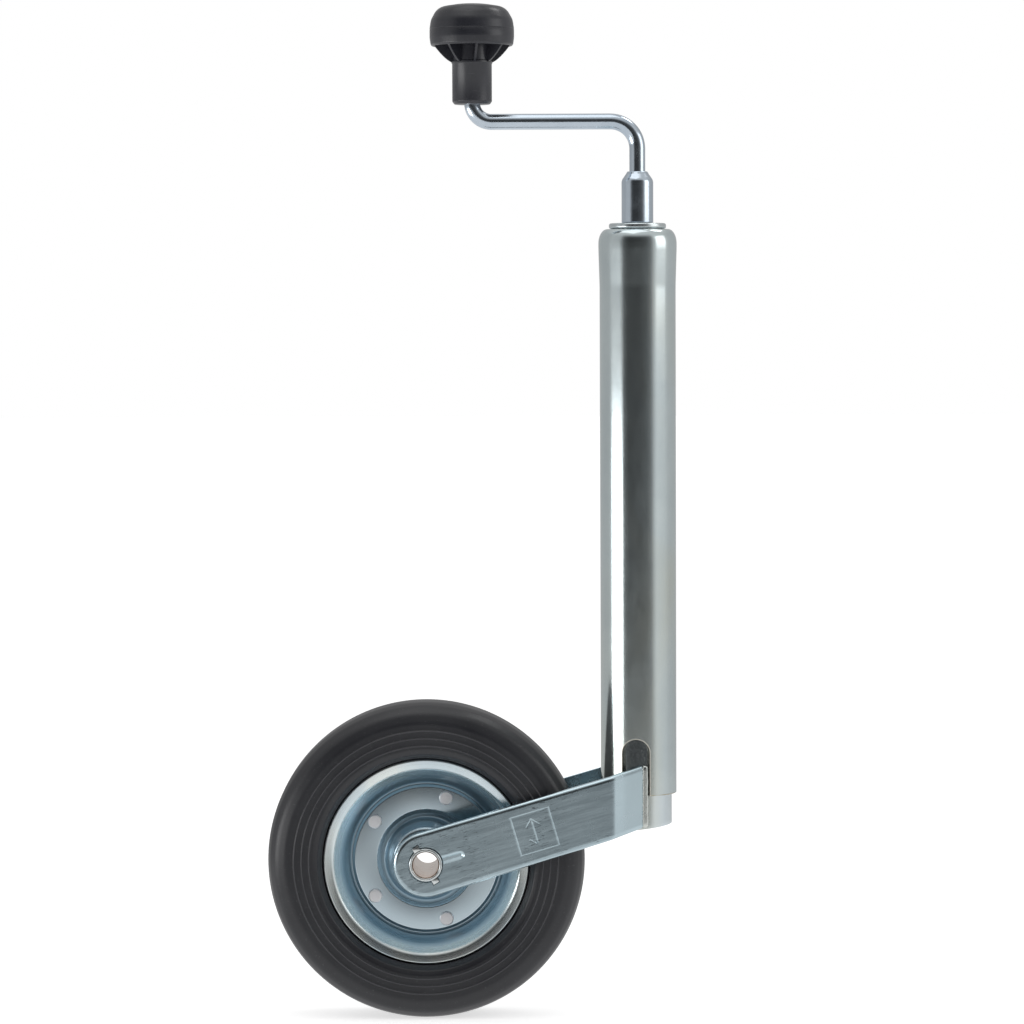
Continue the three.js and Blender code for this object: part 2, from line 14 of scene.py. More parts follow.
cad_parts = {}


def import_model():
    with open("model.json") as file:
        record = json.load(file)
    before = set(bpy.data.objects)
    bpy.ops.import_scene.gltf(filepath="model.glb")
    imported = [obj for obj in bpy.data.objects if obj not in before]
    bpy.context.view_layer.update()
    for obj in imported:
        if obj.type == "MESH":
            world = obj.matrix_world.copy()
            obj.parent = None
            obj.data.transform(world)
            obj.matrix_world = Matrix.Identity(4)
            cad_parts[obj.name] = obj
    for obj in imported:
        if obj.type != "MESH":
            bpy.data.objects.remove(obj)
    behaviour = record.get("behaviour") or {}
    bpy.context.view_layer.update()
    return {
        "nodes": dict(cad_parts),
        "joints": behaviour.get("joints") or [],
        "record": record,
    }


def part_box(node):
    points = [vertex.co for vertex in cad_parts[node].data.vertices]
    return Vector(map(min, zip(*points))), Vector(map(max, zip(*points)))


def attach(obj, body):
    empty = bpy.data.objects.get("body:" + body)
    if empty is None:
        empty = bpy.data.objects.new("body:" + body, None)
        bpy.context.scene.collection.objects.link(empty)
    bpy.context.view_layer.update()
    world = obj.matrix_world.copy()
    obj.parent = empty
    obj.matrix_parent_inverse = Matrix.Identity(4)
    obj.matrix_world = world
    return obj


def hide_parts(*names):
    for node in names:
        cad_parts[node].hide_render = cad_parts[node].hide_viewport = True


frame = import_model()

MM = 0.001
FULL_TURN = 2 * math.pi


# --- places from the frame
def joint(name):
    """A joint's point in the frame."""
    return Vector(next(j["pos_m"] for j in frame["joints"] if j["name"] == name))


def top_of(node):
    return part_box(node)[1].z


def foot_of(node):
    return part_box(node)[0].z


def heights_of(node):
    """A node's foot and top, in mm."""
    return foot_of(node) / MM, top_of(node) / MM


def radius_of(node):
    """Half of a turned node's size along X."""
    low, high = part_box(node)
    return (high.x - low.x) / 2


# --- sizes in mm, for shapes and materials
TUBE_RADIUS = 24.0
TUBE_WALL = 2.2
SLOT_HALF_WIDTH = 8.65
SLOT_MIDDLE = -2.45
SLOT_RISE = 35.9  # the arch's top above the tube's lower edge
ARM_OUTER = 33.8  # the arm's outer face, from the middle plane
ARM_TOP_SLOPE = math.radians(16.2)
ARM_BOTTOM_SLOPE = math.radians(17.4)
AXLE_BORE = 8.0
RIDGE_RADII = (73.9, 78.6, 83.4)  # the fine raised rings on each side of the tyre

AXLE = joint("wheel_spin")
KNOB_AXIS = joint("knob_spin")
TUBE_AXIS = Vector((0, 0, 0))
TYRE_RADIUS = radius_of("tyre")
TYRE_CORNER = 1.0048  # how far the corners of the CAD's 32 facets stand out past their flats
GROUND = AXLE.z - TYRE_RADIUS


# --- mesh tools
def new_object(name, data):
    piece = bpy.data.objects.new(name, data)
    bpy.context.scene.collection.objects.link(piece)
    return piece


def smooth(mesh, angle=35):
    mesh.shade_smooth()
    mesh.set_sharp_from_angle(angle=math.radians(angle))


def mesh_from(name, points, faces):
    """A closed mesh with its faces turned outwards."""
    mesh = bpy.data.meshes.new(name)
    mesh.from_pydata([tuple(p) for p in points], [], faces)
    tool = bmesh.new()
    tool.from_mesh(mesh)
    bmesh.ops.remove_doubles(tool, verts=tool.verts, dist=1e-7)
    bmesh.ops.recalc_face_normals(tool, faces=tool.faces)
    tool.to_mesh(mesh)
    tool.free()
    return mesh


def rounded(points, closed=True, steps=5):
    """The outline with each corner rounded: a point is (across, along, corner radius), in mm."""
    out = []
    count = len(points)
    for i, point in enumerate(points):
        here = Vector(point[:2])
        radius = point[2] if len(point) > 2 else 0
        if radius == 0 or (not closed and i in (0, count - 1)):
            out.append(here)
            continue
        before = Vector(points[i - 1][:2]) - here
        after = Vector(points[(i + 1) % count][:2]) - here
        half = before.angle(after) / 2
        room = 0.49 * min(before.length, after.length)
        reach = min(radius / math.tan(half), room)
        radius = reach * math.tan(half)
        middle = here + (before.normalized() + after.normalized()).normalized() * radius / math.sin(half)
        start = here + before.normalized() * reach - middle
        turn = start.angle_signed(here + after.normalized() * reach - middle)
        for k in range(steps + 1):
            spoke = start.copy()
            spoke.rotate(Matrix.Rotation(-turn * k / steps, 2))
            out.append(middle + spoke)
    return out


def spin(name, outline, centre, axis="Z", segments=96, closed=True, shade=35):
    """Turns an outline of (radius, along) in mm about an axis through centre. With axis "Y",
    along points to the near side."""
    points, faces = [], []
    rows = len(outline)
    for k in range(segments):
        angle = FULL_TURN * k / segments
        for radius, along in outline:
            across = (radius * MM * math.cos(angle), radius * MM * math.sin(angle))
            if axis == "Z":
                points.append(centre + Vector((across[0], across[1], along * MM)))
            else:
                points.append(centre + Vector((across[0], -along * MM, across[1])))
    for k in range(segments):
        here, there = k * rows, (k + 1) % segments * rows
        for i in range(rows if closed else rows - 1):
            j = (i + 1) % rows
            faces.append((here + i, there + i, there + j, here + j))
    mesh = mesh_from(name, points, faces)
    smooth(mesh, shade)
    return new_object(name, mesh)


def prism(name, outline, low_y, high_y):
    """A block along Y with a side-view outline of (x, z) in metres."""
    count = len(outline)
    points = [(x, low_y, z) for x, z in outline] + [(x, high_y, z) for x, z in outline]
    faces = [tuple(range(count)), tuple(range(2 * count - 1, count - 1, -1))]
    for i in range(count):
        j = (i + 1) % count
        faces.append((i, j, count + j, count + i))
    return new_object(name, mesh_from(name, points, faces))


def loft(name, rings, angle=40):
    """A solid through rings that all have the same number of points, in metres, closed at both ends."""
    count = len(rings[0])
    points = [spot for ring in rings for spot in ring]
    faces = []
    for i in range(len(rings) - 1):
        for k in range(count):
            j = (k + 1) % count
            faces.append((i * count + k, i * count + j, (i + 1) * count + j, (i + 1) * count + k))
    last = (len(rings) - 1) * count
    faces.append(tuple(range(count)))
    faces.append(tuple(range(last + count - 1, last - 1, -1)))
    mesh = mesh_from(name, points, faces)
    smooth(mesh, angle)
    return new_object(name, mesh)


def settle(piece):
    """Applies a piece's modifiers."""
    bpy.context.view_layer.update()
    shape = piece.evaluated_get(bpy.context.evaluated_depsgraph_get())
    mesh = bpy.data.meshes.new_from_object(shape)
    piece.modifiers.clear()
    piece.data = mesh
    return piece


def carve(piece, tools):
    """Cuts the tools out of the piece and removes them."""
    for tool in tools:
        cutter = piece.modifiers.new("cut", "BOOLEAN")
        cutter.operation = "DIFFERENCE"
        cutter.solver = "EXACT"
        cutter.object = tool
    settle(piece)
    for tool in tools:
        bpy.data.objects.remove(tool)


def bevel(piece, width, segments=2):
    """A modifier that rounds the sharp edges by a width in mm."""
    edge = piece.modifiers.new("edge", "BEVEL")
    edge.width = width * MM
    edge.segments = segments
    edge.limit_method = "ANGLE"
    edge.angle_limit = math.radians(50)


def soften(piece, width, segments=2):
    """Rounds the sharp edges for good."""
    bevel(piece, width, segments)
    return settle(piece)


def arc(centre, radius, start, end, steps):
    """Points on an arc, angles in radians."""
    out = []
    for k in range(steps + 1):
        angle = start + (end - start) * k / steps
        out.append((centre[0] + radius * math.cos(angle), centre[1] + radius * math.sin(angle)))
    return out


def circle(radius, steps):
    return arc((0, 0), radius, 0, FULL_TURN, steps)[:-1]


def weigh(piece):
    """Lets the large faces set the shading, so a long wall stays straight beside a small edge."""
    weights = piece.modifiers.new("weigh", "WEIGHTED_NORMAL")
    weights.mode = "FACE_AREA"
    weights.weight = 80
    weights.keep_sharp = True
    return settle(piece)


# --- material tools
class Nodes:
    """Short names for building the nodes of one material, or of the world."""

    def __init__(self, name, kind=bpy.data.materials, place="Object"):
        self.owner = kind.new(name)
        self.owner.use_nodes = True
        self.tree = self.owner.node_tree
        self.shader = self.tree.nodes.get("Principled BSDF")
        self.place = self.new("TexCoord").outputs[place]

    def new(self, kind):
        return self.tree.nodes.new("ShaderNode" + kind)

    def link(self, source, target):
        self.tree.links.new(source, target)

    def vector_math(self, operation, where, values):
        node = self.new("VectorMath")
        node.operation = operation
        node.inputs[1].default_value = values
        self.link(where, node.inputs[0])
        return node.outputs[0]

    def scaled(self, scale=(1, 1, 1), origin=(0, 0, 0)):
        """The object's own coordinates, moved so that origin is zero and then scaled."""
        return self.vector_math("MULTIPLY", self.vector_math("SUBTRACT", self.place, origin), scale)

    def length(self, where):
        size = self.new("VectorMath")
        size.operation = "LENGTH"
        self.link(where, size.inputs[0])
        return size.outputs["Value"]

    def radius(self, origin):
        """The distance from an axis along Y."""
        return self.length(self.scaled((1, 0, 1), origin))

    def vector(self, x, z=0.0):
        """Coordinates joined from two values."""
        join = self.new("CombineXYZ")
        for socket, value in ((join.inputs[0], x), (join.inputs[2], z)):
            if isinstance(value, bpy.types.NodeSocket):
                self.link(value, socket)
        return join.outputs[0]

    def radial(self, origin, scale):
        """Coordinates whose X is the distance from an axis along Y, for turned marks."""
        return self.vector(self.times(self.radius(origin), scale))

    def by_radius(self, origin, stops):
        """A grey value that follows the distance from an axis along Y; stops are (mm, grey)."""
        low, high = stops[0][0], stops[-1][0]
        share = self.remap(self.radius(origin), low * MM, high * MM, 0, 1)
        return self.ramp(share, [((place - low) / (high - low), grey) for place, grey in stops])

    def axis_value(self, axis):
        """One of the object's own coordinates."""
        parts = self.new("SeparateXYZ")
        self.link(self.place, parts.inputs[0])
        return parts.outputs[axis]

    def base(self):
        """What colours the base so far."""
        return self.shader.inputs["Base Color"].links[0].from_socket

    def noise(self, where, scale, detail, rough=0.55, distortion=0.0):
        node = self.new("TexNoise")
        node.inputs["Scale"].default_value = scale
        node.inputs["Detail"].default_value = detail
        node.inputs["Roughness"].default_value = rough
        node.inputs["Distortion"].default_value = distortion
        self.link(where, node.inputs["Vector"])
        return node.outputs["Fac"]

    def ramp(self, value, stops):
        """A colour ramp with (place, colour or grey) stops."""
        node = self.new("ValToRGB")
        ramp = node.color_ramp
        while len(ramp.elements) < len(stops):
            ramp.elements.new(0.5)
        for element, (place, colour) in zip(ramp.elements, stops):
            grey = isinstance(colour, (int, float))
            element.position = place
            element.color = (colour, colour, colour, 1) if grey else (*colour, 1)
        self.link(value, node.inputs["Fac"])
        return node.outputs["Color"]

    def remap(self, value, low, high, to_low, to_high):
        node = self.new("MapRange")
        node.inputs["From Min"].default_value = low
        node.inputs["From Max"].default_value = high
        node.inputs["To Min"].default_value = to_low
        node.inputs["To Max"].default_value = to_high
        self.link(value, node.inputs["Value"])
        return node.outputs["Result"]

    def math(self, operation, a, b=0.0):
        node = self.new("Math")
        node.operation = operation
        for socket, value in zip(node.inputs, (a, b)):
            if isinstance(value, (int, float)):
                socket.default_value = value
            else:
                self.link(value, socket)
        return node.outputs[0]

    def times(self, a, b):
        return self.math("MULTIPLY", a, b)

    def mix(self, share, a, b):
        node = self.new("Mix")
        node.data_type = "RGBA"
        for key, value in (("Factor", share), ("A", a), ("B", b)):
            socket = node.inputs[key]
            if isinstance(value, (int, float)):
                socket.default_value = value
            elif isinstance(value, tuple):
                socket.default_value = (*value, 1)
            else:
                self.link(value, socket)
        return node.outputs["Result"]

    def bump(self, height, strength, depth):
        """Adds a bump on top of those already there, its depth in mm."""
        node = self.new("Bump")
        node.inputs["Strength"].default_value = strength
        node.inputs["Distance"].default_value = depth * MM
        self.link(height, node.inputs["Height"])
        normal = self.shader.inputs["Normal"]
        if normal.is_linked:
            self.link(normal.links[0].from_socket, node.inputs["Normal"])
        self.link(node.outputs["Normal"], normal)

    def set(self, **values):
        """Sets the shader's own sockets, or links a node's output to one."""
        for key, value in values.items():
            socket = self.shader.inputs["IOR" if key == "IOR" else key.replace("_", " ").title()]
            if isinstance(value, bpy.types.NodeSocket):
                self.link(value, socket)
            elif isinstance(value, tuple):
                socket.default_value = (*value, 1)
            else:
                socket.default_value = value


def zinc(name, light, dark, tint, rough, grain, stretch=(1, 1, 1), spangle=0.4, spread=0.05):
    """Zinc plate: cloudy patches, a faint tint in places and a speckled grain. grain is how strongly
    the speckles stand out, spangle how dark they are, and spread how far the roughness wanders."""
    n = Nodes(name)
    n.set(Metallic=1.0)
    clouds = n.noise(n.scaled(), 18, 5, 0.6, 0.4)
    base = n.ramp(clouds, [(0.32, dark), (0.68, light)])
    tints = n.remap(n.noise(n.scaled((1, 1, 0.5)), 9, 2, 0.5, 1.2), 0.50, 0.72, 0, 0.6)
    base = n.mix(tints, base, tint)
    speckle = n.noise(n.scaled(stretch), 1500, 3, 0.7)
    base = n.mix(n.remap(speckle, 0.40, 0.72, 0, spangle), base, dark)
    n.set(Base_color=base)
    patches = n.noise(n.scaled(stretch), 140, 4, 0.6)
    n.set(Roughness=n.remap(patches, 0.3, 0.7, rough - spread, rough + spread))
    n.bump(speckle, grain, 0.03)
    return n


def zinc_tube(name="zinc_tube", light=(0.73, 0.81, 0.82), dark=(0.63, 0.71, 0.73), painted_shade_inside=False):
    """Plated drawn tube, its grain a little longer along the tube. The cut foot has yellowed, and a dull
    burr follows the slots, partly a real burr and partly a painted highlight on the slot edges. The
    last argument marks the inner tube: painted dark, speckled shade where it sits in the outer one."""
    n = zinc(name, light, dark, (0.74, 0.75, 0.64), 0.165, 0.42, (1, 1, 0.35), spread=0.015)
    n.bump(n.noise(n.scaled((1, 1, 0.012)), 420, 3, 0.6), 0.05, 0.03)
    n.bump(n.noise(n.scaled((1, 1, 0.5)), 900, 2, 0.6), 0.22, 0.05)
    foot = foot_of("outer_tube")
    # Painted shade: above the outer tube's foot the inner tube is painted dark and speckled, standing in
    # for the shade inside the outer tube seen through the slots.
    if painted_shade_inside:
        film = n.remap(n.axis_value("Z"), foot - 0.6 * MM, foot + 0.4 * MM, 0, 1)
        specks = n.remap(n.noise(n.scaled((1, 1, 0.7)), 1900, 2, 0.6), 0.50, 0.66, 1, 0.6)
        n.set(Base_color=n.mix(n.times(film, specks), n.base(), (0.17, 0.19, 0.20)))
    else:
        edge = n.remap(n.axis_value("Z"), foot + 1.1 * MM, foot + 0.4 * MM, 0, 0.75)
        stain = n.remap(n.noise(n.scaled(), 260, 3, 0.6), 0.35, 0.62, 0.25, 1)
        n.set(Base_color=n.mix(n.times(edge, stain), n.base(), (0.42, 0.34, 0.20)))
        across = n.math("SUBTRACT", n.axis_value("X"), SLOT_MIDDLE * MM)
        over = n.math("SUBTRACT", n.axis_value("Z"), foot + (SLOT_RISE - SLOT_HALF_WIDTH) * MM)
        from_middle = n.length(n.vector(across, n.math("MAXIMUM", over, 0)))
        away = n.math("ABSOLUTE", n.math("SUBTRACT", from_middle, SLOT_HALF_WIDTH * MM))
        # Partly a real burr, partly a painted highlight: a lighter, less metallic band follows the slot
        # edges.
        burr_and_edge_highlight = n.remap(away, 0.4 * MM, 0.8 * MM, 0.8, 0)
        n.set(Base_color=n.mix(burr_and_edge_highlight, n.base(), (0.66, 0.62, 0.54)))
        n.set(Metallic=n.remap(burr_and_edge_highlight, 0, 0.8, 1.0, 0.45))
    return n.owner


def zinc_plate():
    """Plain plated steel for the small flat pieces."""
    return zinc("zinc_plate", (0.72, 0.78, 0.80), (0.58, 0.64, 0.66), (0.70, 0.72, 0.66), 0.24, 0.2,
                spangle=0.25).owner


DASH_SLOPE = math.radians(16.5)


def arm_metal():
    """Rolled plate: short dark drawn dashes run along the flat outer face, thicker in some patches."""
    n = zinc("zinc_plate_arm", (0.68, 0.82, 0.88), (0.57, 0.70, 0.76), (0.58, 0.70, 0.75), 0.24, 0.20,
             spangle=0.15)
    turn = n.new("VectorRotate")
    turn.rotation_type = "Y_AXIS"
    turn.inputs["Angle"].default_value = DASH_SLOPE
    n.link(n.place, turn.inputs["Vector"])
    lines = []
    for along, across in ((150, 1700), (20, 330)):
        lines.append(n.noise(n.vector_math("MULTIPLY", turn.outputs[0], (along, 60, across)), 1, 3, 0.6))
    fine, broad = lines
    away = n.math("ABSOLUTE", n.axis_value("Y"))
    flat = n.remap(away, (ARM_OUTER - 0.7) * MM, (ARM_OUTER - 0.1) * MM, 0, 1)
    patch = n.times(flat, n.remap(n.noise(n.scaled(), 38, 2, 0.5), 0.44, 0.60, 0.15, 1))
    base = n.mix(n.times(flat, n.remap(broad, 0.38, 0.66, 0.35, 0.80)), n.base(), (0.32, 0.40, 0.44))
    base = n.mix(n.times(patch, n.remap(fine, 0.590, 0.635, 0, 0.9)), base, (0.05, 0.06, 0.07))
    n.set(Base_color=base)
    n.bump(broad, 0.06, 0.08)
    return n.owner


def axle_metal():
    """Bright turned end, with a warm film inside the bore."""
    n = zinc("zinc_plate_axle", (0.86, 0.90, 0.90), (0.74, 0.79, 0.80), (0.80, 0.80, 0.74), 0.24, 0.2,
             spangle=0.15)
    inside = n.remap(n.radius(AXLE), (AXLE_BORE + 0.6) * MM, (AXLE_BORE + 0.2) * MM, 0, 0.9)
    n.set(Base_color=n.mix(inside, n.base(), (0.84, 0.72, 0.64)))
    return n.owner


def zinc_rim():
    """Blue-passivated pressed sheet: pale clouds on the lip, and a deeper blue in its two grooves, partly
    the film's own colour and partly painted shade.
    """
    n = zinc("zinc_rim", (0.76, 0.88, 0.94), (0.66, 0.79, 0.87), (0.92, 0.90, 0.74), 0.20, 0.03,
             spangle=0.04, spread=0.02)
    # Partly the blue film, partly painted shade: darker blue in the hub groove and the rim's groove, where
    # shade falls.
    film = n.by_radius(AXLE, [
        (18, 0.1), (23, 0.55), (28.4, 0.80), (29.4, 0), (31.4, 0), (33.0, 0.12), (46.8, 0.12),
        (48.2, 0.80), (51.5, 0.80), (53.6, 0.30), (55.0, 0), (66, 0),
    ])
    pale = n.times(n.by_radius(AXLE, [(18, 0.05), (53, 0.15), (56, 0.85), (66, 0.85)]),
                   n.remap(n.noise(n.scaled(), 13, 2, 0.5, 0.8), 0.42, 0.58, 0.25, 1))
    n.set(Base_color=n.mix(pale, n.base(), (0.95, 1.00, 0.97)))
    n.set(Base_color=n.mix(film, n.base(), (0.17, 0.28, 0.36)))
    n.set(Roughness=n.by_radius(AXLE, [
        (18, 0.22), (28.4, 0.38), (30.0, 0.19), (46.8, 0.19), (48.2, 0.38), (53.6, 0.30), (58, 0.24),
        (66, 0.30),
    ]))
    n.bump(n.noise(n.radial(AXLE, 900), 1, 2, 0.5), 0.04, 0.03)
    return n.owner


def bright_steel():
    """Bright zinc on the crank, the sleeve and the washer."""
    n = zinc("bright_steel", (0.68, 0.76, 0.84), (0.50, 0.58, 0.67), (0.68, 0.72, 0.73), 0.15, 0.55,
             spangle=0.45)
    n.bump(n.noise(n.scaled((1, 1, 0.6)), 900, 2, 0.6), 0.25, 0.05)
    return n.owner


def rivet_steel():
    """Dull pressed aluminium."""
    n = zinc("rivet_steel", (0.90, 0.90, 0.91), (0.76, 0.76, 0.78), (0.86, 0.84, 0.82), 0.38, 0.35)
    n.set(Metallic=0.55)
    return n.owner


def bearing_steel():
    n = Nodes("bearing_steel")
    swirl = n.noise(n.scaled(), 300, 3, 0.6)
    n.set(Metallic=1.0, Base_color=n.ramp(swirl, [(0.3, (0.62, 0.64, 0.66)), (0.7, (0.76, 0.77, 0.78))]))
    n.set(Roughness=n.remap(swirl, 0.3, 0.7, 0.08, 0.18))
    n.bump(n.noise(n.scaled(), 2500, 2, 0.5), 0.05, 0.01)
    return n.owner


def greased_steel():
    """Machined steel under a film of grease."""
    n = Nodes("greased_steel")
    film = n.noise(n.scaled(), 90, 5, 0.6, 0.8)
    n.set(Metallic=0.9, Base_color=n.ramp(film, [(0.35, (0.20, 0.17, 0.12)), (0.7, (0.42, 0.41, 0.38))]))
    n.set(Roughness=n.remap(film, 0.3, 0.7, 0.18, 0.42), Coat_weight=0.35, Coat_roughness=0.12)
    n.bump(film, 0.25, 0.3)
    return n.owner


def rubber():
    """Solid black rubber: a fine moulded skin, faint bloom, a few dull specks, and the fine rings painted
    lighter, partly wear and partly a painted highlight.
    """
    n = Nodes("rubber")
    bloom = n.noise(n.scaled(), 22, 5, 0.62, 0.6)
    base = n.ramp(bloom, [(0.30, (0.010, 0.0105, 0.014)), (0.72, (0.018, 0.019, 0.023))])
    specks = n.remap(n.noise(n.scaled(), 700, 2, 0.6), 0.64, 0.72, 0, 0.35)
    base = n.mix(specks, base, (0.075, 0.075, 0.08))
    # The raised rings are painted lighter: partly wear, partly a painted highlight on their crests.
    stops = [(66, 0.0)]
    for ridge in RIDGE_RADII:
        stops += [(ridge - 0.45, 0.0), (ridge, 0.5), (ridge + 0.45, 0.0)]
    worn_and_lit_ridges = n.by_radius(AXLE, stops + [(100, 0.0)])
    n.set(Base_color=n.mix(worn_and_lit_ridges, base, (0.10, 0.10, 0.11)))
    n.set(Roughness=n.remap(bloom, 0.3, 0.7, 0.34, 0.42), IOR=1.58)
    n.bump(n.noise(n.scaled(), 1800, 3, 0.6), 0.20, 0.05)
    n.bump(n.noise(n.scaled(), 120, 2, 0.5), 0.08, 0.2)
    return n.owner


def black_plastic():
    """Moulded plastic with a fine eroded texture and faint scuffs round the rim."""
    n = Nodes("black_plastic")
    cloud = n.noise(n.scaled(), 40, 4, 0.6)
    base = n.ramp(cloud, [(0.3, (0.015, 0.016, 0.021)), (0.7, (0.026, 0.027, 0.034))])
    scuffs = n.remap(n.noise(n.scaled((6, 6, 160)), 12, 4, 0.75, 0.3), 0.60, 0.74, 0, 0.6)
    n.set(Base_color=n.mix(scuffs, base, (0.085, 0.085, 0.095)))
    n.set(Roughness=n.remap(cloud, 0.3, 0.7, 0.25, 0.36), IOR=1.56)
    n.bump(n.noise(n.scaled(), 2600, 3, 0.6), 0.22, 0.04)
    return n.owner


def nylon():
    n = Nodes("nylon")
    milky = n.noise(n.scaled(), 70, 3, 0.5)
    n.set(Base_color=n.ramp(milky, [(0.3, (0.70, 0.67, 0.58)), (0.7, (0.80, 0.78, 0.71))]))
    n.set(Roughness=n.remap(milky, 0.3, 0.7, 0.38, 0.5), Subsurface_weight=0.15, Subsurface_scale=0.002)
    n.bump(n.noise(n.scaled(), 1500, 2, 0.5), 0.1, 0.03)
    return n.owner


def brass():
    n = Nodes("brass")
    wear = n.noise(n.scaled(), 180, 4, 0.6)
    n.set(Metallic=1.0, Base_color=n.ramp(wear, [(0.3, (0.55, 0.40, 0.18)), (0.7, (0.80, 0.62, 0.32))]))
    n.set(Roughness=n.remap(wear, 0.3, 0.7, 0.22, 0.36))
    n.bump(wear, 0.1, 0.05)
    return n.owner


PALE_TUBE = zinc_tube("zinc_tube_pale", (0.86, 0.94, 0.98), (0.77, 0.86, 0.90), painted_shade_inside=True)
WELD_METAL = zinc("zinc_weld", (0.84, 0.91, 0.92), (0.70, 0.77, 0.78), (0.78, 0.78, 0.70), 0.27,
                  0.3).owner
ARM_METAL = arm_metal()
AXLE_METAL = axle_metal()
MATERIALS = {
    "zinc_tube": zinc_tube(),
    "zinc_plate": zinc_plate(),
    "zinc_rim": zinc_rim(),
    "bright_steel": bright_steel(),
    "rivet_steel": rivet_steel(),
    "bearing_steel": bearing_steel(),
    "greased_steel": greased_steel(),
    "rubber": rubber(),
    "black_plastic": black_plastic(),
    "nylon": nylon(),
    "brass": brass(),
}
SLOT_OF = {s["node"]: s["material_slot"] for s in frame["record"]["subparts"]}
BODY_OF = {
    node: body
    for body, nodes in frame["record"]["behaviour"]["bodies"].items()
    for node in nodes
}


def stands_for(piece, node, material=None):
    """The piece replaces one CAD node and takes its body and finish."""
    slot = SLOT_OF[node]
    piece.data.materials.clear()
    piece.data.materials.append(material or MATERIALS[slot])
    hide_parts(node)
    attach(piece, BODY_OF[node])


# --- outer tube
CORNER_ACROSS = 5.4  # the rolled corner at the top, an ellipse
CORNER_DOWN = 9.0
SWELL_START = 36.0  # from the top down to where the tube starts to widen
SPINDLE_HOLE = 9.2


def outer_tube():
    """Drawn tube, widening towards its rolled top, with an arched slot on the near and the far side."""
    low, top = heights_of("outer_tube")
    bulge = radius_of("outer_tube") / MM
    wall = TUBE_RADIUS - TUBE_WALL
    corner = [
        (bulge - CORNER_ACROSS + CORNER_ACROSS * x, top - CORNER_DOWN + CORNER_DOWN * z)
        for x, z in arc((0, 0), 1, 0, math.pi / 2, 12)
    ]
    outline = rounded([
        (wall, low, 0.4), (TUBE_RADIUS, low, 0.5), (TUBE_RADIUS, low + 3), (TUBE_RADIUS, low + 40),
        (TUBE_RADIUS, top - SWELL_START - 6), (TUBE_RADIUS, top - SWELL_START, 150),
        (bulge, top - CORNER_DOWN - 3, 100), *corner,
        (SPINDLE_HOLE, top, 0.3), (SPINDLE_HOLE, top - TUBE_WALL, 0.3), (18.4, top - TUBE_WALL, 1),
        (wall, top - CORNER_DOWN, 3),
    ], steps=8)
    tube = spin("outer_tube_fine", outline, TUBE_AXIS, segments=192)
    left = (SLOT_MIDDLE - SLOT_HALF_WIDTH) * MM
    right = (SLOT_MIDDLE + SLOT_HALF_WIDTH) * MM
    spring = (low + SLOT_RISE - SLOT_HALF_WIDTH) * MM
    below = (low - 5) * MM
    arch = [(left, below), (right, below)]
    arch += arc((SLOT_MIDDLE * MM, spring), SLOT_HALF_WIDTH * MM, 0, math.pi, 32)
    reach = (TUBE_RADIUS + 6) * MM
    carve(tube, [prism("slot_tool", arch, -reach, reach)])
    soften(tube, 0.6, segments=3)
    smooth(tube.data, 40)
    stands_for(weigh(tube), "outer_tube")


def top_washer():
    low, high = heights_of("top_washer")
    radius = radius_of("top_washer") / MM
    outline = rounded([
        (8.6, low, 0.3), (radius, low, 1.1), (radius, high, 1.3), (11.5, high, 0.6),
        (10.8, high - 0.5, 0.3), (8.6, high - 0.5, 0.2),
    ])
    stands_for(spin("top_washer_fine", outline, TUBE_AXIS, segments=96), "top_washer")


# --- crank and knob
ROD_RADIUS = 5.0
BEND_LOW = 17.0
BEND_HIGH = 12.0
RUN_BELOW_KNOB = 11.0  # from the knob's foot down to the middle of the crank's level run
SPINDLE_SOCKET = 8.3  # radius of the sleeve's lower hole
ROD_SOCKET = 5.2  # and of its upper one
ROD_SOCKET_DEPTH = 16.0


def crank_sleeve():
    """The sleeve that joins the rod to the screw, its top pressed in round the rod."""
    low, high = heights_of("crank_sleeve")
    radius = radius_of("crank_sleeve") / MM
    outline = rounded([
        (SPINDLE_SOCKET, low, 0.2), (radius, low, 0.6), (radius, high - 5.6, 5), (7.2, high - 1.6, 3.5),
        (6.3, high, 1.2), (ROD_SOCKET, high, 0.3), (ROD_SOCKET, high - ROD_SOCKET_DEPTH, 0.2),
        (SPINDLE_SOCKET, high - ROD_SOCKET_DEPTH, 0.2),
    ], steps=8)
    sleeve = spin("crank_sleeve_fine", outline, TUBE_AXIS, segments=80, shade=50)
    stands_for(weigh(sleeve), "crank_sleeve")


def crank_rod():
    """A round bar along a line with two bends, its ends a little chamfered."""
    throw = -KNOB_AXIS.x / MM
    run = foot_of("knob") / MM - RUN_BELOW_KNOB
    low, high = heights_of("crank_rod")
    line = [(0.0, low), (0.0, run - BEND_LOW)]
    line += arc((-BEND_LOW, run - BEND_LOW), BEND_LOW, 0, math.pi / 2, 14)[1:]
    line += arc((-throw + BEND_HIGH, run + BEND_HIGH), BEND_HIGH, 1.5 * math.pi, math.pi, 14)
    line += [(-throw, high)]
    edge = 0.7
    spots = [Vector((x, 0, z)) for x, z in line]
    spines = []
    for i, spot in enumerate(spots):
        along = (spots[min(i + 1, len(spots) - 1)] - spots[max(i - 1, 0)]).normalized()
        if i == 0:
            spines += [(spot, along, ROD_RADIUS - edge), (spot + along * edge, along, ROD_RADIUS)]
        elif i == len(spots) - 1:
            spines += [(spot - along * edge, along, ROD_RADIUS), (spot, along, ROD_RADIUS - edge)]
        else:
            spines.append((spot, along, ROD_RADIUS))
    rings = []
    across = Vector((0, 1, 0))
    for spot, along, radius in spines:
        side = across.cross(along)
        rings.append([
            (spot + side * x * radius + across * y * radius) * MM
            for x, y in circle(1, 40)
        ])
    stands_for(weigh(loft("crank_rod_fine", rings)), "crank_rod")


KNOB_STEM = 12.5
KNOB_BORE = 5.25
KNOB_RIBS = 8
RIB_TURN = math.radians(8)


